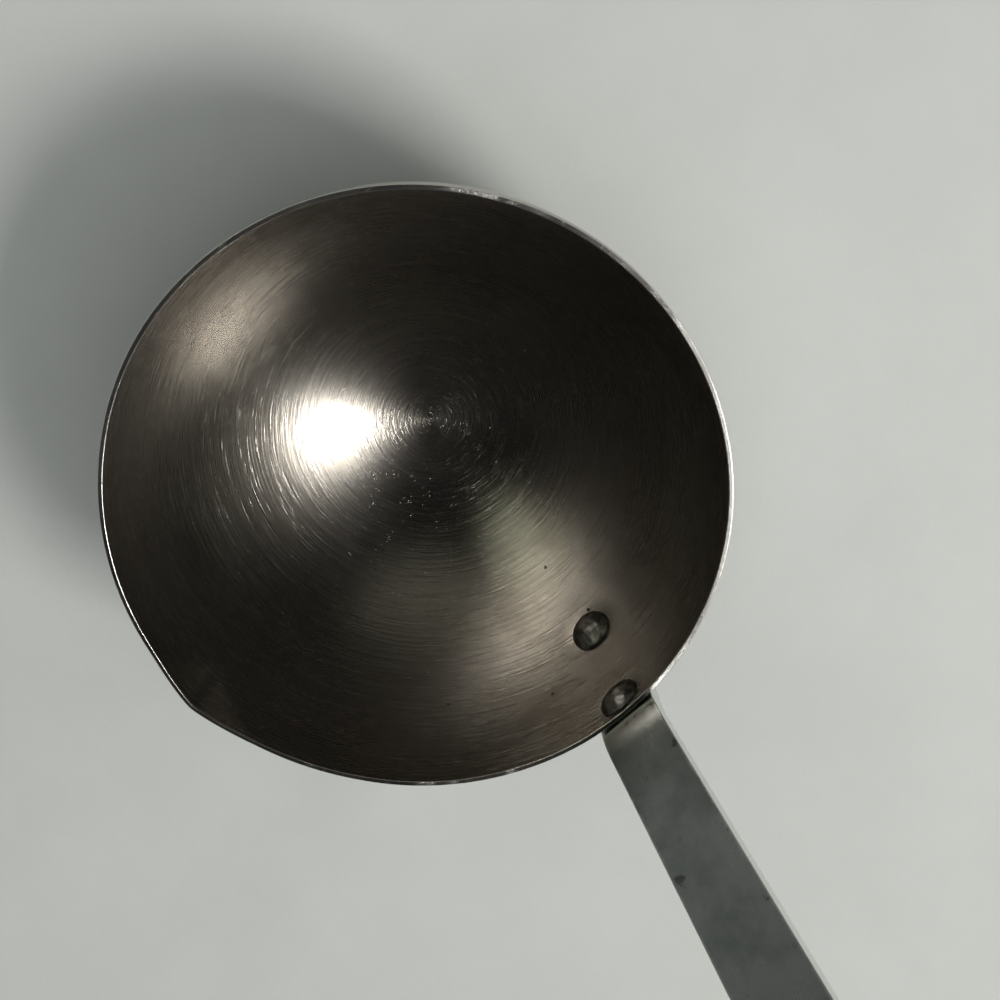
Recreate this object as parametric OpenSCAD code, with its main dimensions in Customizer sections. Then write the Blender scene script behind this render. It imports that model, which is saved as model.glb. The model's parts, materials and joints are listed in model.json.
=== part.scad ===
// A kitchen ladle: a round sheet-steel bowl with a pouring lip, and a flat strip handle held by two rivets.
// Modelled with the rim level and the bowl open upwards. The handle rises towards +X and the lip looks
// towards -Y. The origin is the middle of the hanging hole at the handle's end.

/* [Bowl] */
// Outer radius of the round bowl, which is half a ball
bowl_r = 50; // [40:1:60]
// Thickness of the bowl's sheet
sheet = 0.8; // [0.6:0.1:1.2]

/* [Pouring lip] */
// How far the lip's tip stands out past the round rim
lip_reach = 2.3; // [1.2:0.1:3]
// Turn of the rim at the tip of the lip, in degrees
lip_corner = 15; // [10:1:24]
// How much larger the radius of the lip's two cheeks is than the bowl's
cheek_ease = 10; // [6:1:14]
// Height of the middles of the cheeks above the rim, which sets how soon the lip fades down the wall
cheek_rise = 12; // [8:0.5:14]

/* [Handle] */
// Thickness of the strip
strip_t = 2.5; // [1.5:0.1:3]
// Width of the strip's tongue, under the bowl
tongue_w = 10; // [9:0.5:12]
// Width of the strip at its free end
end_w = 22; // [18:1:28]
// Length of the straight blade, from the bend to the free end
blade_len = 265; // [180:5:300]
// Angle between the blade and the rim, in degrees
blade_slope = 59.5; // [50:0.5:70]
// Radius of the bend, on the face that looks into the bowl
bend_r = 17; // [12:1:24]
// Length along the wall from the rim down to where the strip leaves it
bend_drop = 2.2; // [1.5:0.1:3]
// Length along the wall from the lower rivet down to the tongue's tip
tongue_past = 8; // [6.5:0.5:12]

/* [Hanging hole] */
// Radius of the hanging hole
hole_r = 4; // [3:0.25:6]
// Steel left between the hole and the handle's end
hole_web = 7; // [5:0.5:10]

/* [Rivets] */
// Length along the wall from the rim down to the upper rivet
rivet_drop = 4.6; // [4.5:0.1:6]
// Length along the wall between the two rivets
rivet_pitch = 19.9; // [16:0.1:24]
// Radius of a rivet's shank
shank_r = 2; // [1.5:0.1:2.5]
// Radius of a rivet's heads
head_r = 3.8; // [3.2:0.1:4.2]
// Height of the head inside the bowl
inner_head_h = 1.85; // [1.4:0.05:2.2]
// Height of the head on the back of the strip
outer_head_h = 1.7; // [1.4:0.05:2.2]
// Radius of the crown of a head
crown_r = 6; // [5:0.25:10]

/* [Fits] */
// Gap between a rivet's shank and its holes, all round
shank_fit = 0.05; // [0.02:0.01:0.1]
// Gap between faces that lie on each other
seat = 0.02; // [0.01:0.01:0.05]

/* [Hidden] */
$fn = 96;

// Degrees that an arc of length 1 takes up on the bowl's wall
deg_per_mm = 180 / (PI * bowl_r);
inner_r = bowl_r - sheet;

// Angles of the rivets, the bend and the tongue's tip, from straight down to the rim at 90
upper_angle = 90 - rivet_drop * deg_per_mm;
lower_angle = upper_angle - rivet_pitch * deg_per_mm;
bend_angle = 90 - bend_drop * deg_per_mm;
tip_angle = lower_angle - tongue_past * deg_per_mm;

// Side view of the strip: its face on the bowl, the seat of the rivets on its back, the middle of its bend
// and the start of its blade
strip_r = bowl_r + seat;
function wall_way(angle) = [sin(angle), -cos(angle)];
strip_back = strip_r + strip_t + seat;
bend_mid = (strip_r + bend_r) * wall_way(bend_angle);
blade_start = bend_mid - bend_r * wall_way(blade_slope);

// Places along the blade's line, counted from the blade's start
blade_way = [cos(blade_slope), sin(blade_slope)];
tip_at = (strip_r * wall_way(tip_angle) - blade_start) * blade_way;
tongue_round = tongue_w / 2;
end_round = end_w / 2;
tongue_mid = tip_at + tongue_round;
end_mid = blade_len - end_round;
taper = asin((end_round - tongue_round) / (end_mid - tongue_mid));

// The hanging hole, in the middle of the strip's thickness, seen from the side
hole_at = blade_len - hole_web - hole_r;
hole_mid = blade_start + hole_at * blade_way + strip_t / 2 * wall_way(blade_slope);

// The lip's cheeks: two large balls, one on each side, whose middles lie behind the bowl's axis
cheek_r = bowl_r + cheek_ease;
cheek_rim_r = sqrt(pow(cheek_r, 2) - pow(cheek_rise, 2));
cheek_side = cheek_rim_r * sin(lip_corner / 2);
cheek_back = cheek_rim_r * cos(lip_corner / 2) - bowl_r - lip_reach;
// The cheeks count only in front of this plane, which lies inside the bowl
lip_root = 0.6 * bowl_r;

// A size larger than the object, for cutting blocks
far = 4 * bowl_r;
// How far a cutter runs past the face that it cuts
over = 1;
// Flats that stand for each curve of the strip
arc_steps = 24;

// Moves a shape from the middle of the rim to the part's own frame
module from_rim() {
  translate([-hole_mid[0], 0, -hole_mid[1]]) children();
}

// Turns a shape that stands on +Z to stand straight out of the bowl's wall, under the handle
module on_wall(angle) {
  rotate([0, 180 - angle, 0]) children();
}

// Turns a side view, drawn with X outwards and Y upwards, into a slab of the width w
module slab(w) {
  rotate([90, 0, 0]) linear_extrude(height = w, center = true) children();
}

// The part of a ball that lies below the rim, with the ball's middle at the height up above it
module below_rim(r, up) {
  rotate_extrude($fn = 180) intersection() {
    translate([0, up]) circle(r = r);
    translate([0, -far]) square([far, far]);
  }
}

// The space inside the bowl's outer skin, or inside a skin that lies the depth in below it
module bowl_skin(in) {
  below_rim(bowl_r - in, 0);
  intersection() {
    translate([cheek_side, cheek_back, 0]) below_rim(cheek_r - in, cheek_rise);
    translate([-cheek_side, cheek_back, 0]) below_rim(cheek_r - in, cheek_rise);
    translate([-far / 2, -far - lip_root, -far / 2]) cube([far, far, far]);
  }
}

// One long edge of the strip seen from the side, at the depth in from its face: round the bowl from the
// tongue's tip, back through the bend, and up the blade to its end
function strip_edge(in) = concat(
  [for (i = [0 : arc_steps]) (strip_r + in) * wall_way(tip_angle + (bend_angle - tip_angle) * i / arc_steps)],
  [for (i = [1 : arc_steps])
    bend_mid - (bend_r - in) * wall_way(bend_angle + (blade_slope - bend_angle) * i / arc_steps)],
  [blade_start + in * wall_way(blade_slope) + blade_len * blade_way]
);

// Side view of the strip: its face, and its back from the free end down again
module strip_side() {
  back = strip_edge(strip_t);
  polygon(concat(strip_edge(0), [for (i = [len(back) - 1 : -1 : 0]) back[i]]));
}

// A round end of the strip's outline, from the angle a0 to the angle a1
function round_end(mid, r, a0, a1) = [
  for (i = [0 : arc_steps]) let (a = a0 + (a1 - a0) * i / arc_steps) [mid + r * cos(a), r * sin(a)]
];

// Outline of the strip, seen square on to the blade: the round free end, and the taper to the round tongue
module strip_outline() {
  polygon(concat(
    round_end(end_mid, end_round, -90 - taper, 90 + taper),
    round_end(tongue_mid, tongue_round, 90 + taper, 270 - taper)
  ));
}

// Moves a shape from the blade's own plane to its place beside the bowl
module on_blade() {
  translate([blade_start[0], 0, blade_start[1]]) rotate([0, -blade_slope, 0]) children();
}

module rivet_hole(angle) {
  on_wall(angle) translate([0, 0, inner_r - over])
    cylinder(r = shank_r + shank_fit, h = sheet + strip_t + 2 * over);
}

// Half of a rivet seen from the side, on the line from the middle of the rim out through the wall: the
// crowned head inside the bowl, with its foot on the curve of the wall, and the shank
module rivet_inside() {
  intersection() {
    translate([0, inner_r - inner_head_h]) square([head_r, inner_head_h]);
    translate([0, inner_r - inner_head_h + crown_r]) circle(r = crown_r);
    circle(r = inner_r - seat);
  }
  translate([0, inner_r - inner_head_h / 2])
    square([shank_r, sheet + strip_t + (inner_head_h + outer_head_h) / 2]);
}

// Half of the crowned head on the back of the strip, running on into the strip
module rivet_outside() {
  intersection() {
    translate([0, strip_back - over]) square([head_r, outer_head_h + over]);
    translate([0, strip_back + outer_head_h - crown_r]) circle(r = crown_r);
  }
}

// A set rivet: the shank, the head inside the bowl and the head on the back of the strip
module rivet(angle) {
  on_wall(angle) rotate_extrude() rivet_inside();
  difference() {
    on_wall(angle) rotate_extrude() rivet_outside();
    slab(far) circle(r = strip_back);
  }
}

module bowl() {
  color([0.36, 0.34, 0.31]) from_rim() difference() {
    bowl_skin(0);
    bowl_skin(sheet);
    translate([-far / 2, -far / 2, 0]) cube([far, far, far]);
    rivet_hole(upper_angle);
    rivet_hole(lower_angle);
  }
}

module handle() {
  color([0.52, 0.54, 0.52]) from_rim() difference() {
    intersection() {
      slab(far) strip_side();
      on_blade() linear_extrude(height = far, center = true) strip_outline();
    }
    rivet_hole(upper_angle);
    rivet_hole(lower_angle);
    on_blade() translate([hole_at, 0, -strip_t - over]) cylinder(r = hole_r, h = strip_t + 2 * over);
  }
}

module upper_rivet() {
  color([0.3, 0.3, 0.29]) from_rim() rivet(upper_angle);
}

module lower_rivet() {
  color([0.3, 0.3, 0.29]) from_rim() rivet(lower_angle);
}

bowl();
handle();
upper_rivet();
lower_rivet();
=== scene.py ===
import json
from math import acos, asin, atan2, cos, exp, pi, radians, sin, sqrt

import bmesh
import bpy
from mathutils import Matrix, Vector, noise


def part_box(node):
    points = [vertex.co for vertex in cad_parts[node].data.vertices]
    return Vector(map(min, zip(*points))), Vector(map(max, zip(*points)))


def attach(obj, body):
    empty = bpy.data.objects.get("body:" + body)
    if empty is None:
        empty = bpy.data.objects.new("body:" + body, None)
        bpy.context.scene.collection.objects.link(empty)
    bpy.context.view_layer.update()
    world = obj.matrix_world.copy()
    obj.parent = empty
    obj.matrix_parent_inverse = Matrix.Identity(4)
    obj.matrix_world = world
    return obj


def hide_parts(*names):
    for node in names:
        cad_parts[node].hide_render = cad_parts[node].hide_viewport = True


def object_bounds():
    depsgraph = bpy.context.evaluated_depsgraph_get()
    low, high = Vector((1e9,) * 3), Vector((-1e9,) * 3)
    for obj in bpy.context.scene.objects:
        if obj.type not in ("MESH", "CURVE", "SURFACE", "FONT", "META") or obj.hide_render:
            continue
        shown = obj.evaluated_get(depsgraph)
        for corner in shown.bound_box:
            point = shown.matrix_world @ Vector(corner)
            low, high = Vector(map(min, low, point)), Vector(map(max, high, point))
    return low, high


# A kitchen ladle: a round bowl of brushed steel with a pouring lip, and a flat strip handle on two rivets.
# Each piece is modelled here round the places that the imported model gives, and stands for its node.

bl_info = {
    "name": "Kitchen ladle",
    "version": (1, 0, 0),
    "blender": (4, 5, 0),
    "location": "View3D > Sidebar > Ladle",
    "description": "Adds a steel ladle with a pouring lip and a riveted strip handle, on a pale floor",
    "category": "Add Mesh",
}

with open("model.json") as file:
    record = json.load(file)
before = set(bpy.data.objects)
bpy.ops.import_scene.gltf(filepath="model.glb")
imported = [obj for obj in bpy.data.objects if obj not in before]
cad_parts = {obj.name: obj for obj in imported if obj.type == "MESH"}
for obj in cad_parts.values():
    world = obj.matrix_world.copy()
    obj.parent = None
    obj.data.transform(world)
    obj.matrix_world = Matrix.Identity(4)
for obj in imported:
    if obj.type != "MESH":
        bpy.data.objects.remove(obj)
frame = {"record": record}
CAD_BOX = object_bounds()

MM = 0.001

# The middle of the bowl's rim and the bowl's outer radius
BOWL_LOW, BOWL_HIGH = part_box("bowl")
RIM_MID = Vector(((BOWL_LOW.x + BOWL_HIGH.x) / 2, 0, BOWL_HIGH.z))
BOWL_R = BOWL_HIGH.y

# The blade's slope, from the axis of the hanging hole, whose middle is the origin
HOLE_MOUNT = frame["record"]["mounts"][0]
HOLE_AXIS = Vector(HOLE_MOUNT["axis"])
BLADE_SLOPE = atan2(-HOLE_AXIS.x, HOLE_AXIS.z)
BLADE_WAY = Vector((cos(BLADE_SLOPE), 0, sin(BLADE_SLOPE)))
HOLE_R = HOLE_MOUNT["dims"]["r_mm"] * MM
# Half of the handle's width at its free end
END_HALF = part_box("handle")[1].y

# Dark pits in the bowl's wall: azimuth and height angle from straight down, in degrees, and radius
PITS = ((-14.0, 71.0, 0.35 * MM), (2.0, 57.0, 0.30 * MM), (-2.0, 42.0, 0.28 * MM), (-38.0, 66.0, 0.22 * MM))

# Round each rivet the bowl's faces are smaller, out to here
FINE_REACH = 8 * MM

# Pale patches of the room: azimuth, height and half-width in degrees, and colour
ROOM_PATCHES = ((-169, 37, 17, (0.62, 0.66, 0.50)), (138, 22, 34, (0.15, 0.15, 0.12)))


def wall_way(angle):
    """Direction from the middle of the rim to the wall under the handle; the angle starts straight down."""
    return Vector((sin(angle), 0, -cos(angle)))


def length_prop(name, description, default):
    """A size in metres."""
    return bpy.props.FloatProperty(
        name=name, description=description, default=default, unit="LENGTH", precision=5)


def angle_prop(name, description, default):
    """An angle, given in degrees and kept in radians."""
    return bpy.props.FloatProperty(
        name=name, description=description, default=radians(default), subtype="ANGLE")


def share_prop(name, description, default):
    """A plain number with no unit."""
    return bpy.props.FloatProperty(name=name, description=description, default=default)


def count_prop(name, description, default):
    """A whole number of steps."""
    return bpy.props.IntProperty(name=name, description=description, default=default)


def colour_prop(name, description, default):
    """A colour in linear light."""
    return bpy.props.FloatVectorProperty(
        name=name, description=description, default=default, subtype="COLOR")


class BowlSettings(bpy.types.PropertyGroup):
    sheet: length_prop("Sheet", "Thickness of the bowl's sheet", 0.8 * MM)
    rim_round: length_prop("Rim rounding", "Width of the worn edges of the rim", 0.16 * MM)
    lip_reach: length_prop("Lip reach", "How far the lip's tip stands out past the round rim", 2.3 * MM)
    lip_corner: angle_prop("Lip corner", "Turn of the rim at the lip's tip", 17)
    cheek_ease: length_prop("Cheek ease", "How much larger the cheeks' radius is than the bowl's", 10 * MM)
    cheek_rise: length_prop("Cheek rise", "Height of the middles of the cheeks above the rim", 12 * MM)
    tail_reach: length_prop("Tail reach", "How far the wall is drawn out beside the lip", 0.9 * MM)
    tail_far: angle_prop("Far tail", "Spread of the drawn wall on the side away from the handle", 37)
    tail_near: angle_prop("Near tail", "Spread of the drawn wall on the handle's side", 24)
    tail_depth: length_prop("Tail depth", "How far down the wall the drawing reaches", 14 * MM)
    corner_blend: length_prop("Corner blend", "Rounding of the crease at the lip's tip", 0.12 * MM)
    tail_blend: length_prop("Tail blend", "Rounding where the lip's tails meet its cheeks", 0.25 * MM)
    dent: length_prop("Dent", "Height of the low ring that riveting leaves round each rivet", 0.06 * MM)
    dent_start: length_prop("Dent start", "Where that ring begins, from the rivet's middle", 3.2 * MM)
    dent_top: length_prop("Dent top", "Where that ring is highest", 5.6 * MM)
    dent_end: length_prop("Dent end", "Where that ring ends", 10 * MM)
    around: count_prop("Steps around", "Faces round the rim", 288)
    down: count_prop("Steps down", "Faces from the bottom to the rim", 84)
    steel: colour_prop("Steel", "Colour of the bowl's steel", (0.44, 0.418, 0.385))
    stain: colour_prop("Stain", "Colour of the dulled patches", (0.32, 0.295, 0.262))
    # Brighter hairs of the brushing: a painted glint, standing in for the arcs of light that the brushing
    # catches
    strand_glint: colour_prop("Strand", "Colour of the brighter hairs of the brushing", (0.52, 0.50, 0.46))
    scratch: colour_prop("Scratch", "Colour inside the fine scratches", (0.56, 0.54, 0.50))
    pit: colour_prop("Pit", "Colour inside the pits", (0.02, 0.018, 0.015))
    # The rim colour is partly ground steel and partly a painted highlight along the rim
    rim: colour_prop("Rim", "Colour of the bright ground rim", (0.80, 0.79, 0.77))
    roughness: share_prop("Roughness", "Roughness of the brushed wall", 0.265)
    grain: share_prop("Grain", "How much the brushing stretches the gloss across its rings", 0.3)
    relief: length_prop("Relief", "Depth of the brushing", 0.035 * MM)


class HandleSettings(bpy.types.PropertyGroup):
    strip: length_prop("Strip", "Thickness of the strip", 2.5 * MM)
    tongue: length_prop("Tongue", "Width of the strip's tongue, under the bowl", 10 * MM)
    blade: length_prop("Blade", "Length of the straight blade, from the bend to the free end", 265 * MM)
    bend: length_prop("Bend", "Radius of the bend, on the face that looks into the bowl", 17 * MM)
    bend_drop: length_prop("Bend drop", "Length along the wall from the rim to the bend", 2.2 * MM)
    tongue_past: length_prop("Tongue past rivet", "Length of the tongue past the lower rivet", 8 * MM)
    web: length_prop("Hole web", "Steel between the hanging hole and the handle's end", 7 * MM)
    edge_round: length_prop("Edge rounding", "Width of the strip's broken edges", 0.22 * MM)
    step: length_prop("Step", "Length of each flat along the bent stretch", 0.7 * MM)
    arc_steps: count_prop("Arc steps", "Faces along each quarter of a round end", 20)
    steel: colour_prop("Steel", "Colour of the handle's steel", (0.50, 0.525, 0.51))
    dull: colour_prop("Dull steel", "Colour of the cloudy dull parts", (0.34, 0.365, 0.35))
    mark: colour_prop("Mark", "Colour of the small dark marks", (0.12, 0.125, 0.11))
    # Used for the nicks, which are wear, and for the strip's sides, which are lightened partly as wear and
    # partly as a painted highlight
    worn_and_glinting: colour_prop("Worn steel", "Colour of the bright worn edges", (0.78, 0.79, 0.77))
    roughness: share_prop("Roughness", "Roughness of the strip's faces", 0.30)
    relief: length_prop("Relief", "Depth of the lines and nicks", 0.018 * MM)


class RivetSettings(bpy.types.PropertyGroup):
    drop: length_prop("Drop", "Length along the wall from the rim to the upper rivet", 4.6 * MM)
    pitch: length_prop("Pitch", "Length along the wall between the two rivets", 19.9 * MM)
    shank: length_prop("Shank", "Radius of a rivet's shank", 2 * MM)
    fit: length_prop("Fit", "Gap round the shank", 0.05 * MM)
    seat: length_prop("Seat", "Gap between faces that lie on each other", 0.02 * MM)
    head: length_prop("Head", "Radius of a rivet's heads", 3.8 * MM)
    inner_height: length_prop("Inner height", "Height of the head inside the bowl", 1.85 * MM)
    outer_height: length_prop("Outer height", "Height of the head on the back of the strip", 1.7 * MM)
    crown: length_prop("Crown", "Radius of the crown of a head", 6 * MM)
    shoulder: length_prop("Shoulder", "Rounding between a head's crown and its side", 0.7 * MM)
    hammered: length_prop("Hammered", "Depth of the dints that the hammer left", 0.1483 * MM)
    dint: length_prop("Dint", "Width of those dints", 1.7 * MM)
    around: count_prop("Steps around", "Faces round a head", 72)
    steel: colour_prop("Steel", "Colour of the rivets' steel", (0.40, 0.40, 0.385))
    dull: colour_prop("Dull steel", "Colour of the darker parts", (0.22, 0.215, 0.20))
    roughness: share_prop("Roughness", "Roughness of the rivets", 0.33)
    relief: length_prop("Relief", "Depth of the rough skin on the heads", 0.05 * MM)


class StageSettings(bpy.types.PropertyGroup):
    floor: colour_prop("Floor", "Colour of the floor", (0.60, 0.62, 0.605))
    floor_size: length_prop("Floor size", "Radius of the floor", 4.0)
    floor_gap: length_prop("Floor gap", "Gap between the floor and the bowl", 0.2 * MM)
    lens: share_prop("Lens", "Length of the camera's lens, in millimetres", 54)
    distance: length_prop("Distance", "From the camera to the point that it looks at", 235.92 * MM)
    azimuth: angle_prop("Azimuth", "The camera's direction round the bowl, from +X", 136.57)
    elevation: angle_prop("Elevation", "The camera's height above the rim", 70.96)
    roll: angle_prop("Roll", "The camera's turn about its own line of sight", -179.47)
    aim: bpy.props.FloatVectorProperty(
        name="Aim", description="The point that the camera looks at, from the middle of the rim",
        default=(8.28 * MM, 10.36 * MM, 0), unit="LENGTH", precision=5)
    key_azimuth: angle_prop("Key azimuth", "Direction of the main lamp round the bowl, from +X", 25)
    key_elevation: angle_prop("Key elevation", "Height of the main lamp", 51)
    key_distance: length_prop("Key distance", "From the rim to the main lamp", 1.1)
    key_size: length_prop("Key size", "Width of the main lamp", 0.32)
    key_power: share_prop("Key power", "Power of the main lamp, in watts", 8.0)
    key_colour: colour_prop("Key colour", "Colour of the main lamp", (1.0, 0.97, 0.92))
    fill_azimuth: angle_prop("Fill azimuth", "Direction of the broad soft lamp overhead", 45)
    fill_elevation: angle_prop("Fill elevation", "Height of the broad lamp", 81.9505)
    fill_distance: length_prop("Fill distance", "From the rim to the broad lamp", 1.6)
    fill_size: length_prop("Fill size", "Width of the broad lamp", 1.8)
    fill_power: share_prop("Fill power", "Power of the broad lamp, in watts", 13.0)
    fill_colour: colour_prop("Fill colour", "Colour of the broad lamp", (0.97, 1.0, 1.0))
    horizon: colour_prop("Horizon", "Colour of the room at the height of the floor", (0.17, 0.175, 0.17))
    walls: colour_prop("Walls", "Colour of the room higher up", (0.015, 0.0145, 0.013))
    overhead: colour_prop("Overhead", "Colour of the room overhead", (0.002, 0.002, 0.002))


class LadleSettings(bpy.types.PropertyGroup):
    bowl: bpy.props.PointerProperty(type=BowlSettings, name="Bowl", description="Sizes and steel of the bowl")
    handle: bpy.props.PointerProperty(type=HandleSettings, name="Handle", description="Sizes of the handle")
    rivets: bpy.props.PointerProperty(type=RivetSettings, name="Rivets", description="Sizes of the rivets")
    stage: bpy.props.PointerProperty(type=StageSettings, name="Stage", description="Floor, camera and lamps")


class Nodes:
    """Adds and joins the nodes of one tree."""

    def __init__(self, tree):
        self.tree = tree
        self.tree.nodes.clear()

    def node(self, kind, feeds=None, **choices):
        """Adds a node, sets its choices, and feeds its sockets with numbers or other nodes' outputs."""
        made = self.tree.nodes.new("ShaderNode" + kind)
        for choice, value in choices.items():
            setattr(made, choice, value)
        for socket, value in (feeds or {}).items():
            if isinstance(value, bpy.types.NodeSocket):
                self.tree.links.new(value, made.inputs[socket])
            else:
                made.inputs[socket].default_value = value
        return made

    def math(self, operation, a, b=0.0, clamp=False):
        return self.node("Math", {0: a, 1: b}, operation=operation, use_clamp=clamp).outputs[0]

    def vector(self, operation, a, b=(0, 0, 0), out=0):
        return self.node("VectorMath", {0: a, 1: b}, operation=operation).outputs[out]

    def joined(self, x, y, z):
        return self.node("CombineXYZ", {0: x, 1: y, 2: z}).outputs[0]

    def noise(self, place, scale=1.0, detail=2.0, rough=0.5):
        feeds = {"Vector": place, "Scale": scale, "Detail": detail, "Roughness": rough}
        return self.node("TexNoise", feeds).outputs[0]

    def spread(self, value, low, high, to_low=0.0, to_high=1.0):
        """Eases a value from low..high to to_low..to_high."""
        feeds = {"Value": value, "From Min": low, "From Max": high, "To Min": to_low, "To Max": to_high}
        return self.node("MapRange", feeds, interpolation_type="SMOOTHSTEP").outputs[0]

    def blend(self, share, a, b):
        """Mixes the colour b over a."""
        mixed = self.node("Mix", {0: share}, data_type="RGBA")
        for socket, value in ((6, a), (7, b)):
            if isinstance(value, bpy.types.NodeSocket):
                self.tree.links.new(value, mixed.inputs[socket])
            else:
                mixed.inputs[socket].default_value = (*value, 1)
        return mixed.outputs[2]

    def bump(self, height, depth, under=None):
        feeds = {"Height": height, "Distance": depth, "Strength": 1.0}
        if under is not None:
            feeds["Normal"] = under
        return self.node("Bump", feeds).outputs[0]


class Finish(Nodes):
    """The nodes of one material."""

    def __init__(self, name):
        self.material = bpy.data.materials.new(name)
        self.material.use_nodes = True
        super().__init__(self.material.node_tree)

    def steel(self, colour, roughness, normal, anisotropic=0.0, tangent=None):
        """Ends the material in a metal shader."""
        feeds = {"Base Color": colour, "Metallic": 1.0, "Roughness": roughness, "Normal": normal,
                 "Anisotropic": anisotropic}
        if tangent is not None:
            feeds["Tangent"] = tangent
        shader = self.node("BsdfPrincipled", feeds)
        self.node("OutputMaterial", {0: shader.outputs[0]})
        return self.material


def fine_scratches(finish, place, scale, turns):
    """Thin straight scratches in several directions, from 0 for none to 1 in a scratch."""
    total = None
    across = scale * 28
    for turn in turns:
        feeds = {"Vector": place, "Rotation": turn, "Scale": (across, scale, across)}
        turned = finish.node("Mapping", feeds)
        line = finish.noise(turned.outputs[0], 1.0, 2.0, 0.4)
        cut = finish.spread(line, 0.70, 0.76)
        total = cut if total is None else finish.math("MAXIMUM", total, cut)
    patches = finish.spread(finish.noise(place, scale * 2.3, 1.0), 0.45, 0.65)
    return finish.math("MULTIPLY", total, patches)


def pits(finish, place, sheet):
    """The dark pits at their places on the inner wall, from 0 for none to 1 in a pit."""
    pitted = None
    for azimuth, angle, radius in PITS:
        turn = radians(azimuth)
        fall = radians(angle)
        way = Vector((sin(fall) * cos(turn), sin(fall) * sin(turn), -cos(fall)))
        gap = finish.vector("DISTANCE", place, RIM_MID + (BOWL_R - sheet) * way, out=1)
        hole = finish.spread(gap, radius * 1.4, radius * 0.6)
        pitted = hole if pitted is None else finish.math("MAXIMUM", pitted, hole)
    return pitted


def bowl_finish(settings):
    """Brushed steel: rings about the bowl's axis with brighter hairs painted as glints, dull patches, fine
    scratches, and a bright ground rim that is partly a painted highlight.
    """
    finish = Finish("bowl_steel")
    place = finish.node("TexCoord").outputs["Object"]
    arm = finish.vector("SUBTRACT", place, RIM_MID)
    way = finish.vector("NORMALIZE", arm)
    parts = finish.node("SeparateXYZ", {0: way}).outputs
    out = finish.math("SQRT", finish.math("ADD", finish.math("MULTIPLY", parts[0], parts[0]),
                                          finish.math("MULTIPLY", parts[1], parts[1])))
    out = finish.math("MAXIMUM", out, 0.001)
    across = finish.math("DIVIDE", parts[0], out)
    along = finish.math("DIVIDE", parts[1], out)
    # Length along the wall from the bottom, in millimetres
    climb = finish.math("MULTIPLY", finish.math("ARCSINE", finish.math("MINIMUM", out, 1.0)), BOWL_R / MM)

    def rings(per_turn, per_mm, detail):
        turned = finish.joined(finish.math("MULTIPLY", across, per_turn),
                               finish.math("MULTIPLY", along, per_turn),
                               finish.math("MULTIPLY", climb, per_mm))
        return finish.noise(turned, 1.0, detail, 0.6)

    fine = rings(1.8, 4.4, 3.0)
    broad = rings(1.3, 1.3, 2.0)
    hair = rings(2.6, 2.2, 3.0)
    strands = finish.spread(hair, 0.58, 0.68)
    cloud = finish.noise(place, 55.0, 3.0, 0.55)
    patch = finish.noise(place, 22.0, 2.0, 0.5)
    scratches = fine_scratches(finish, place, 160.0, ((0.3, 0.7, 0.2), (1.2, 0.4, 1.9), (2.2, 1.3, 0.9)))
    height = finish.math("ADD", finish.math("MULTIPLY", fine, 0.9), finish.math("MULTIPLY", broad, 1.2))
    height = finish.math("ADD", height, finish.math("MULTIPLY", strands, 0.35))
    height = finish.math("SUBTRACT", height, finish.math("MULTIPLY", scratches, 0.5))
    pitted = pits(finish, place, settings.sheet)
    level = finish.node("SeparateXYZ", {0: arm}).outputs[2]
    # Painted highlight, partly ground steel: the top fifth of a millimetre below the rim is lightened towards
    # the rim colour
    rim = finish.spread(level, -0.22 * MM, -0.06 * MM)
    stained = finish.spread(finish.math("ADD", cloud, patch), 0.85, 1.25)
    colour = finish.blend(stained, settings.steel, settings.stain)
    # Painted glints: the brushing's hairs are lightened in colour, over the real relief that the bump gives
    # them
    colour = finish.blend(finish.math("MULTIPLY", strands, 0.4), colour, settings.strand_glint)
    colour = finish.blend(finish.math("MULTIPLY", scratches, 0.4), colour, settings.scratch)
    colour = finish.blend(pitted, colour, settings.pit)
    colour = finish.blend(rim, colour, settings.rim)
    rough = finish.math("ADD", finish.math("MULTIPLY", fine, 0.10), finish.math("MULTIPLY", cloud, 0.12))
    rough = finish.math("ADD", rough, settings.roughness - 0.11)
    rough = finish.math("ADD", rough, finish.math("MULTIPLY", pitted, 0.4), clamp=True)
    normal = finish.bump(height, settings.relief)
    tangent = finish.node("Tangent", direction_type="UV_MAP", uv_map="wall").outputs[0]
    return finish.steel(colour, rough, normal, settings.grain, tangent)


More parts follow.
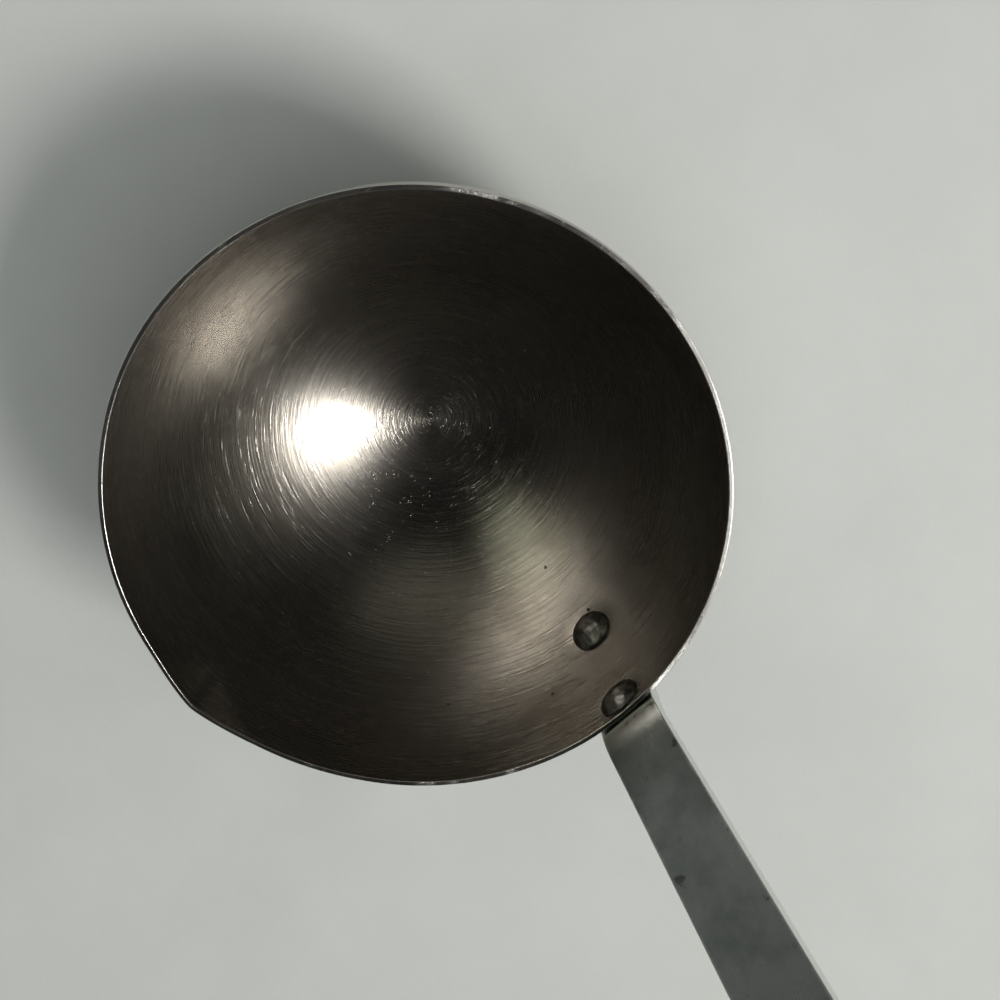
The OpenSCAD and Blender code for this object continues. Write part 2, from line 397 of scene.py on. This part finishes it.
def handle_finish(settings):
    """Satin strip steel: long fine lines, small dark marks, and sides lightened, partly as wear and partly as
    a painted highlight.
    """
    finish = Finish("handle_steel")
    flat = finish.node("UVMap", uv_map="strip").outputs[0]
    place = finish.node("TexCoord").outputs["Object"]
    long_lines = finish.node("Mapping", {"Vector": flat, "Scale": (40, 2600, 1)}).outputs[0]
    lines = finish.noise(long_lines, 1.0, 3.0, 0.6)
    short_lines = finish.node("Mapping", {"Vector": flat, "Rotation": (0, 0, 0.12), "Scale": (120, 1500, 1)})
    nicks = finish.spread(finish.noise(short_lines.outputs[0], 1.0, 2.0), 0.68, 0.76)
    cloud = finish.noise(place, 110.0, 5.0, 0.65)
    mottle = finish.noise(place, 420.0, 3.0, 0.6)
    marks = finish.spread(finish.noise(place, 300.0, 4.0, 0.6), 0.64, 0.72)
    gap = finish.node("Attribute", attribute_name="edge_gap").outputs["Fac"]
    ragged = finish.math("ADD", gap, finish.math("MULTIPLY", finish.math("SUBTRACT", mottle, 0.5), 0.9 * MM))
    # Painted highlight, partly wear: the strip's sides are lightened to within about half a millimetre of the
    # edge
    edge = finish.spread(ragged, 0.50 * MM, 0.12 * MM)
    colour = finish.blend(finish.spread(cloud, 0.35, 0.70), settings.steel, settings.dull)
    colour = finish.blend(finish.math("MULTIPLY", marks, 0.75), colour, settings.mark)
    colour = finish.blend(finish.math("MULTIPLY", nicks, 0.35), colour, settings.worn_and_glinting)
    colour = finish.blend(finish.math("MULTIPLY", edge, 0.8), colour, settings.worn_and_glinting)
    rough = finish.math("ADD", finish.math("MULTIPLY", cloud, 0.16), finish.math("MULTIPLY", lines, 0.10))
    rough = finish.math("ADD", rough, settings.roughness - 0.13, clamp=True)
    height = finish.math("ADD", finish.math("MULTIPLY", lines, 0.5), finish.math("MULTIPLY", mottle, 0.5))
    height = finish.math("SUBTRACT", height, finish.math("MULTIPLY", nicks, 0.4))
    return finish.steel(colour, rough, finish.bump(height, settings.relief))


def rivet_finish(settings):
    """Dull hammered steel, darker in random patches."""
    finish = Finish("rivet_steel")
    place = finish.node("TexCoord").outputs["Object"]
    coarse = finish.noise(place, 700.0, 3.0, 0.55)
    fine = finish.noise(place, 2600.0, 3.0, 0.6)
    colour = finish.blend(finish.spread(coarse, 0.40, 0.62), settings.steel, settings.dull)
    rough = finish.math("ADD", finish.math("MULTIPLY", fine, 0.2), settings.roughness - 0.1)
    height = finish.math("ADD", coarse, finish.math("MULTIPLY", fine, 0.35))
    return finish.steel(colour, rough, finish.bump(height, settings.relief))


def floor_finish(settings):
    """A plain pale table top with a faint mottle."""
    finish = Finish("floor_paint")
    place = finish.node("TexCoord").outputs["Object"]
    mottle = finish.noise(place, 38.0, 4.0, 0.6)
    darker = tuple(c * 0.96 for c in settings.floor)
    colour = finish.blend(finish.spread(mottle, 0.3, 0.7), tuple(settings.floor), darker)
    skin = finish.bump(finish.noise(place, 900.0, 2.0), 0.03 * MM)
    shader = finish.node("BsdfPrincipled", {"Base Color": colour, "Roughness": 0.62, "Normal": skin})
    finish.node("OutputMaterial", {0: shader.outputs[0]})
    return finish.material


def make_piece(name, bm, material, closed=True):
    """Turns a finished bmesh into an object at the origin, with a closed one's faces pointing outwards."""
    if closed and bm.calc_volume(signed=True) < 0:
        bmesh.ops.reverse_faces(bm, faces=bm.faces[:])
    mesh = bpy.data.meshes.new(name)
    bm.to_mesh(mesh)
    bm.free()
    mesh.materials.append(material)
    for face in mesh.polygons:
        face.use_smooth = True
    piece = bpy.data.objects.new(name, mesh)
    bpy.context.scene.collection.objects.link(piece)
    return piece


def stand_for(piece, node):
    """The piece rides on the part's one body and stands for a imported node."""
    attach(piece, "root")
    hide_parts(node)


def ease(value, low, high):
    """0 below low, 1 above high, and a smooth climb between."""
    share = min(max((value - low) / (high - low), 0), 1)
    return share * share * (3 - 2 * share)


def rivet_angles(rivets):
    """Angles of the two rivets on the wall, from straight down."""
    upper = pi / 2 - rivets.drop / BOWL_R
    return upper, upper - rivets.pitch / BOWL_R


def cheek_lift(way, bowl):
    """How far the lip's two ball-shaped cheeks stand out past the round wall, with a soft crease between."""
    if way.y >= 0:
        return -BOWL_R
    half = bowl.lip_corner / 2
    cheek_r = BOWL_R + bowl.cheek_ease
    rim_r = sqrt(cheek_r ** 2 - bowl.cheek_rise ** 2)
    back = rim_r * cos(half) - BOWL_R - bowl.lip_reach
    lifts = []
    for side in (-1, 1):
        middle = Vector((side * rim_r * sin(half), back, bowl.cheek_rise))
        level = way.dot(middle)
        lifts.append(level + sqrt(level ** 2 - middle.length_squared + cheek_r ** 2) - BOWL_R)
    mean = (lifts[0] + lifts[1]) / 2
    return mean - sqrt(((lifts[0] - lifts[1]) / 2) ** 2 + bowl.corner_blend ** 2)


def wall_reach(way, bowl, rivet_ways):
    """How far the bowl's outer skin lies from the middle of the rim, in the given direction."""
    drawn = cheek_lift(way, bowl)
    # The long shallow tails beside the lip; the turn is counted from the lip's tip, towards the handle
    turn = atan2(way.y, way.x) + pi / 2
    turn = atan2(sin(turn), cos(turn))
    spread = bowl.tail_near if turn > 0 else bowl.tail_far
    depth = -way.z * BOWL_R
    fade = max(0, 1 - depth / bowl.tail_depth) ** 2
    tail = 0
    if abs(turn) < 2.6 * spread:
        tail = bowl.tail_reach * exp(-(turn / spread) ** 2) * fade
    # The larger of the two, with the step between them rounded
    blend = bowl.tail_blend * fade
    lift = max(drawn, 0)
    if fade > 0:
        lift = (drawn + tail + sqrt((drawn - tail) ** 2 + blend ** 2) - blend) / 2
    dent = 0
    for rivet_way in rivet_ways:
        gap = acos(min(1, way.dot(rivet_way))) * BOWL_R
        rise = ease(gap, bowl.dent_start, bowl.dent_top)
        fall = ease(gap, bowl.dent_top, bowl.dent_end)
        dent += bowl.dent * (rise - fall)
    return BOWL_R + max(lift, 0) - dent


def add_bowl(bowl, rivets):
    """A quarter arc turned about the upright axis, drawn out at the lip, with two rivet holes."""
    bm = bmesh.new()
    bm.verts.new((0, 0, -BOWL_R))
    bmesh.ops.spin(bm, geom=bm.verts[:], cent=(0, 0, 0), axis=(0, -1, 0), angle=pi / 2, steps=bowl.down)
    bmesh.ops.spin(bm, geom=bm.verts[:] + bm.edges[:], cent=(0, 0, 0), axis=(0, 0, 1), angle=2 * pi,
                   steps=bowl.around, use_merge=True)
    bmesh.ops.remove_doubles(bm, verts=bm.verts[:], dist=0.001 * MM)
    rivet_ways = [wall_way(angle) for angle in rivet_angles(rivets)]
    near = []
    for edge in bm.edges:
        middle = (edge.verts[0].co + edge.verts[1].co).normalized()
        if any((middle - way).length * BOWL_R < FINE_REACH for way in rivet_ways):
            near.append(edge)
    bmesh.ops.subdivide_edges(bm, edges=near, cuts=1, use_grid_fill=True)
    hole_r = rivets.shank + rivets.fit
    for way in rivet_ways:
        inside = [v for v in bm.verts if (v.co.normalized() - way).length * BOWL_R < hole_r]
        bmesh.ops.delete(bm, geom=inside, context="VERTS")
        ring = [v for v in bm.verts
                if v.is_boundary and (v.co.normalized() - way).length * BOWL_R < hole_r + 2 * MM]
        for v in ring:
            off = v.co.normalized() - way
            off -= way * off.dot(way)
            v.co = way * sqrt(BOWL_R ** 2 - hole_r ** 2) + off.normalized() * hole_r
    for v in bm.verts:
        way = v.co.normalized()
        v.co = way * wall_reach(way, bowl, rivet_ways)
    bmesh.ops.recalc_face_normals(bm, faces=bm.faces[:])
    if sum(face.normal.dot(face.calc_center_median()) for face in bm.faces) < 0:
        bmesh.ops.reverse_faces(bm, faces=bm.faces[:])
    # The map "wall" runs from the bottom to the rim one way and round the bowl the other way
    wall = bm.loops.layers.uv.new("wall")
    for face in bm.faces:
        middle = face.calc_center_median()
        turn = atan2(middle.y, middle.x) / (2 * pi)
        for loop in face.loops:
            co = loop.vert.co
            out = sqrt(co.x ** 2 + co.y ** 2)
            own = atan2(co.y, co.x) / (2 * pi) if out > 0.01 * MM else turn
            own += round(turn - own)
            loop[wall].uv = (atan2(out, -co.z) / (pi / 2), own + 0.5)
    bmesh.ops.translate(bm, verts=bm.verts[:], vec=RIM_MID)
    piece = make_piece("bowl_shell", bm, bowl_finish(bowl), closed=False)
    shell = piece.modifiers.new("Sheet", "SOLIDIFY")
    shell.thickness = bowl.sheet
    shell.offset = -1
    shell.use_even_offset = True
    edges = piece.modifiers.new("Worn edges", "BEVEL")
    edges.width = bowl.rim_round
    edges.segments = 3
    edges.limit_method = "ANGLE"
    edges.angle_limit = radians(50)
    edges.harden_normals = True
    stand_for(piece, "bowl")


class StripPath:
    """The line that the strip follows: round the bowl's wall, back through the bend, and up the blade."""

    def __init__(self, handle, rivets):
        self.strip = handle.strip
        self.bend_r = handle.bend
        self.face_r = BOWL_R + rivets.seat
        self.bend_angle = pi / 2 - handle.bend_drop / BOWL_R
        self.upper, self.lower = rivet_angles(rivets)
        self.tip_angle = self.lower - handle.tongue_past / BOWL_R
        self.wrap = (self.bend_angle - self.tip_angle) * self.face_r
        self.turn = (self.bend_angle - BLADE_SLOPE) * self.bend_r
        self.total = self.wrap + self.turn + handle.blade
        self.bend_mid = RIM_MID + (self.face_r + self.bend_r) * wall_way(self.bend_angle)
        self.blade_start = self.bend_mid - self.bend_r * wall_way(BLADE_SLOPE)

    def rivet_at(self, angle):
        return (angle - self.tip_angle) * self.face_r

    def point(self, along, depth):
        """The point at a length along the strip, at a depth in from the face that looks into the bowl."""
        if along < self.wrap:
            return RIM_MID + (self.face_r + depth) * wall_way(self.tip_angle + along / self.face_r)
        past = along - self.wrap
        if past < self.turn:
            return self.bend_mid - (self.bend_r - depth) * wall_way(self.bend_angle - past / self.bend_r)
        return self.blade_start + depth * wall_way(BLADE_SLOPE) + (past - self.turn) * BLADE_WAY


def arc_verts(bm, middle, radius, start, turn, steps):
    """An arc in the flat, as a row of joined points; returns its first and last point."""
    first = bm.verts.new((middle + radius * cos(start), radius * sin(start), 0))
    if turn < 0:
        axis = (0, 0, -1)
    else:
        axis = (0, 0, 1)
    spun = bmesh.ops.spin(bm, geom=[first], cent=(middle, 0, 0), axis=axis, angle=abs(turn), steps=steps)
    last = next(v for v in spun["geom_last"] if isinstance(v, bmesh.types.BMVert))
    return first, last


def add_handle(handle, rivets):
    """Half of the flat strip is outlined, mirrored, cut into flats, thickened, and bent along its path."""
    path = StripPath(handle, rivets)
    tongue_r = handle.tongue / 2
    end_mid = path.total - END_HALF
    taper = asin((END_HALF - tongue_r) / (end_mid - tongue_r))
    hole_mid = path.total - handle.web - HOLE_R
    bm = bmesh.new()
    steps = handle.arc_steps
    tip, tongue_side = arc_verts(bm, tongue_r, tongue_r, pi, -(pi / 2 - taper), steps)
    end_side, end_tip = arc_verts(bm, end_mid, END_HALF, pi / 2 + taper, -(pi / 2 + taper), steps + 4)
    line = [tip]
    for middle, radius in ((path.rivet_at(path.lower), rivets.shank + rivets.fit),
                           (path.rivet_at(path.upper), rivets.shank + rivets.fit), (hole_mid, HOLE_R)):
        near, far = arc_verts(bm, middle, radius, pi, -pi, 2 * steps)
        line += [near, far]
    line.append(end_tip)
    for a, b in zip(line[::2], line[1::2]):
        bm.edges.new((a, b))
    bm.edges.new((tongue_side, end_side))
    bmesh.ops.contextual_create(bm, geom=bm.edges[:])
    bmesh.ops.mirror(bm, geom=bm.verts[:] + bm.edges[:] + bm.faces[:], axis="Y", merge_dist=0.01 * MM)
    bmesh.ops.remove_doubles(bm, verts=bm.verts[:], dist=0.005 * MM)
    # The stretch that will be bent is cut across into short flats, and the blade stays whole
    bent = path.wrap + path.turn
    cuts = int(bent / handle.step)
    for i in range(1, cuts + 1):
        bmesh.ops.bisect_plane(bm, geom=bm.verts[:] + bm.edges[:] + bm.faces[:],
                               plane_co=(bent * i / cuts, 0, 0), plane_no=(1, 0, 0), dist=0.002 * MM)
    bmesh.ops.recalc_face_normals(bm, faces=bm.faces[:])
    if bm.faces[0].normal.z > 0:
        bmesh.ops.reverse_faces(bm, faces=bm.faces[:])
    # The flat face looks into the bowl, and its copy becomes the back
    grown = bmesh.ops.extrude_face_region(bm, geom=bm.faces[:], use_keep_orig=True)
    back = [v for v in grown["geom"] if isinstance(v, bmesh.types.BMVert)]
    bmesh.ops.translate(bm, verts=back, vec=(0, 0, handle.strip))
    bmesh.ops.recalc_face_normals(bm, faces=bm.faces[:])
    sharp = [e for e in bm.edges if len(e.link_faces) == 2 and e.calc_face_angle() > radians(50)]
    bmesh.ops.bevel(bm, geom=sharp, offset=handle.edge_round, segments=3, profile=0.5, affect="EDGES",
                    material=-1)
    # The map "strip" follows the strip's length, and edge_gap is the way in from its side, for the wear and
    # the painted highlight along the sides
    strip_map = bm.loops.layers.uv.new("strip")
    edge_gap = bm.verts.layers.float.new("edge_gap")
    slope = (END_HALF - tongue_r) / (end_mid - tongue_r)
    for v in bm.verts:
        half = tongue_r + slope * (min(max(v.co.x, tongue_r), end_mid) - tongue_r)
        v[edge_gap] = max(0, half - abs(v.co.y))
    for face in bm.faces:
        for loop in face.loops:
            co = loop.vert.co
            loop[strip_map].uv = (co.x / path.total, 0.5 + (co.y + co.z) / path.total)
    for v in bm.verts:
        bent_to = path.point(v.co.x, v.co.z)
        v.co = (bent_to.x, v.co.y, bent_to.z)
    bmesh.ops.recalc_face_normals(bm, faces=bm.faces[:])
    piece = make_piece("handle_strip", bm, handle_finish(handle))
    shading = piece.modifiers.new("Flat faces", "WEIGHTED_NORMAL")
    shading.keep_sharp = True
    stand_for(piece, "handle")


def rivet_profile(bm, rivets, sheet, strip):
    """Half of a rivet seen from the side, drawn in X and Z along the line out from the middle of the rim.

    It returns the places of the wall's inner face and of the strip's back on that line.
    """
    inner = BOWL_R - sheet
    back = BOWL_R + rivets.seat + strip + rivets.seat
    reach = asin(rivets.head / rivets.crown)
    crown_drop = rivets.crown * (1 - cos(reach))
    corners = (
        (rivets.head, sqrt(inner ** 2 - rivets.head ** 2) - rivets.seat),
        (rivets.shank, sqrt(inner ** 2 - rivets.shank ** 2) - rivets.seat),
        (rivets.shank, back - rivets.seat),
        (rivets.head, back - rivets.seat),
        (rivets.head, back + rivets.outer_height - crown_drop),
    )
    apex = bm.verts.new((0, 0, inner - rivets.inner_height))
    spun = bmesh.ops.spin(bm, geom=[apex], cent=(0, 0, inner - rivets.inner_height + rivets.crown),
                          axis=(0, -1, 0), angle=reach, steps=14)
    last = next(v for v in spun["geom_last"] if isinstance(v, bmesh.types.BMVert))
    shoulders = [last]
    for x, z in corners:
        made = bm.verts.new((x, 0, z))
        bm.edges.new((last, made))
        last = made
    shoulders.append(last)
    bmesh.ops.spin(bm, geom=[last], cent=(0, 0, back + rivets.outer_height - rivets.crown),
                   axis=(0, -1, 0), angle=reach, steps=14)
    bmesh.ops.bevel(bm, geom=shoulders, offset=rivets.shoulder, segments=6, profile=0.5, affect="VERTICES",
                    material=-1)
    return inner, back


def add_rivet(name, node, angle, seed, ladle, material):
    """A lathe-turned rivet with hammered heads, set through the wall and the strip."""
    rivets = ladle.rivets
    bm = bmesh.new()
    inner, back = rivet_profile(bm, rivets, ladle.bowl.sheet, ladle.handle.strip)
    bmesh.ops.spin(bm, geom=bm.verts[:] + bm.edges[:], cent=(0, 0, 0), axis=(0, 0, 1), angle=2 * pi,
                   steps=rivets.around, use_merge=True)
    bmesh.ops.remove_doubles(bm, verts=bm.verts[:], dist=0.002 * MM)
    # Only the crowns are dinted, so the feet stay on the wall and on the strip's back
    crowns = [v for v in bm.verts if v.co.z < inner - 0.9 * MM or v.co.z > back + 0.8 * MM]
    for v in crowns:
        out = sqrt(v.co.x ** 2 + v.co.y ** 2)
        spot = Vector((v.co.x / rivets.dint, v.co.y / rivets.dint, seed))
        dint = noise.noise(spot) + 0.5 * noise.noise(spot * 2.1)
        dint = rivets.hammered * (dint - 0.7 * ease(rivets.head - out, 0.4 * MM, 2.6 * MM))
        v.co.z += max(dint, -rivets.hammered * 1.4) * (-1 if v.co.z < inner else 1)
    bmesh.ops.recalc_face_normals(bm, faces=bm.faces[:])
    bmesh.ops.rotate(bm, verts=bm.verts[:], cent=(0, 0, 0), matrix=Matrix.Rotation(pi - angle, 3, "Y"))
    bmesh.ops.translate(bm, verts=bm.verts[:], vec=RIM_MID)
    piece = make_piece(name, bm, material)
    stand_for(piece, node)


def direction(azimuth, elevation):
    """A unit vector from its azimuth, from +X, and its height above the floor."""
    return Vector((cos(elevation) * cos(azimuth), cos(elevation) * sin(azimuth), sin(elevation)))


def add_lamp(name, way, distance, size, power, colour, seen=True):
    """A square soft lamp that looks at the middle of the rim."""
    data = bpy.data.lights.new(name, "AREA")
    data.size = size
    data.energy = power
    data.color = colour
    lamp = bpy.data.objects.new(name, data)
    lamp.location = RIM_MID + way * distance
    lamp.rotation_euler = way.to_track_quat("Z", "Y").to_euler()
    lamp.visible_glossy = seen
    bpy.context.scene.collection.objects.link(lamp)


def add_room(stage):
    """Dim surroundings: dark overhead, paler towards the horizon, with soft pale patches."""
    world = bpy.data.worlds.new("room")
    world.use_nodes = True
    room = Nodes(world.node_tree)
    way = room.node("TexCoord").outputs["Generated"]
    height = room.node("SeparateXYZ", {0: way}).outputs[2]
    colour = room.blend(room.spread(height, 0.0, 0.35), stage.horizon, stage.walls)
    colour = room.blend(room.spread(height, 0.35, 0.85), colour, stage.overhead)
    for azimuth, elevation, half, shade in ROOM_PATCHES:
        middle = direction(radians(azimuth), radians(elevation))
        near = room.vector("DOT_PRODUCT", way, middle, out=1)
        share = room.spread(near, cos(radians(half)), cos(radians(half * 0.45)))
        colour = room.blend(share, colour, shade)
    shader = room.node("Background", {0: colour})
    room.node("OutputWorld", {0: shader.outputs[0]})
    bpy.context.scene.world = world


def add_stage(stage):
    """The floor, the lamps, the room and the camera."""
    bm = bmesh.new()
    bmesh.ops.create_circle(bm, cap_ends=True, segments=128, radius=stage.floor_size)
    bmesh.ops.translate(bm, verts=bm.verts[:], vec=(RIM_MID.x, 0, CAD_BOX[0].z - stage.floor_gap))
    make_piece("floor", bm, floor_finish(stage), closed=False)
    add_lamp("key_lamp", direction(stage.key_azimuth, stage.key_elevation), stage.key_distance,
             stage.key_size, stage.key_power, stage.key_colour)
    add_lamp("fill_lamp", direction(stage.fill_azimuth, stage.fill_elevation), stage.fill_distance,
             stage.fill_size, stage.fill_power, stage.fill_colour, seen=False)
    add_room(stage)
    data = bpy.data.cameras.new("camera")
    data.lens = stage.lens
    data.sensor_width = 36
    data.clip_start = 0.01
    data.clip_end = 20
    camera = bpy.data.objects.new("camera", data)
    back = direction(stage.azimuth, stage.elevation)
    camera.location = RIM_MID + Vector(stage.aim) + back * stage.distance
    camera.rotation_mode = "QUATERNION"
    level = back.to_track_quat("Z", "Y").to_matrix()
    camera.rotation_quaternion = (Matrix.Rotation(stage.roll, 3, back) @ level).to_quaternion()
    bpy.context.scene.collection.objects.link(camera)
    bpy.context.scene.camera = camera
    bpy.context.scene.view_settings.view_transform = "Standard"


class LADLE_OT_bowl(bpy.types.Operator):
    """Adds the round bowl with its pouring lip"""

    bl_idname = "ladle.bowl"
    bl_label = "Bowl"

    def execute(self, context):
        add_bowl(context.scene.ladle.bowl, context.scene.ladle.rivets)
        return {"FINISHED"}


class LADLE_OT_handle(bpy.types.Operator):
    """Adds the strip handle with its tongue, bend and hanging hole"""

    bl_idname = "ladle.handle"
    bl_label = "Handle"

    def execute(self, context):
        add_handle(context.scene.ladle.handle, context.scene.ladle.rivets)
        return {"FINISHED"}


class LADLE_OT_rivets(bpy.types.Operator):
    """Adds the two rivets"""

    bl_idname = "ladle.rivets"
    bl_label = "Rivets"

    def execute(self, context):
        ladle = context.scene.ladle
        material = rivet_finish(ladle.rivets)
        upper, lower = rivet_angles(ladle.rivets)
        add_rivet("rivet_upper", "upper_rivet", upper, 3.1, ladle, material)
        add_rivet("rivet_lower", "lower_rivet", lower, 8.6, ladle, material)
        return {"FINISHED"}


class LADLE_OT_stage(bpy.types.Operator):
    """Adds the floor, the lamps and the camera"""

    bl_idname = "ladle.stage"
    bl_label = "Stage"

    def execute(self, context):
        add_stage(context.scene.ladle.stage)
        return {"FINISHED"}


class LADLE_PT_sidebar(bpy.types.Panel):
    """Lists the ladle's pieces and the stage"""

    bl_idname = "LADLE_PT_sidebar"
    bl_label = "Kitchen ladle"
    bl_space_type = "VIEW_3D"
    bl_region_type = "UI"
    bl_category = "Ladle"

    def draw(self, context):
        for operator in (LADLE_OT_bowl, LADLE_OT_handle, LADLE_OT_rivets, LADLE_OT_stage):
            self.layout.operator(operator.bl_idname)


CLASSES = (BowlSettings, HandleSettings, RivetSettings, StageSettings, LadleSettings, LADLE_OT_bowl,
           LADLE_OT_handle, LADLE_OT_rivets, LADLE_OT_stage, LADLE_PT_sidebar)


def register():
    for kind in CLASSES:
        bpy.utils.register_class(kind)
    bpy.types.Scene.ladle = bpy.props.PointerProperty(type=LadleSettings)


def unregister():
    del bpy.types.Scene.ladle
    for kind in reversed(CLASSES):
        bpy.utils.unregister_class(kind)


def main():
    register()
    bpy.ops.ladle.bowl()
    bpy.ops.ladle.handle()
    bpy.ops.ladle.rivets()
    bpy.ops.ladle.stage()


if __name__ == "__main__":
    main()
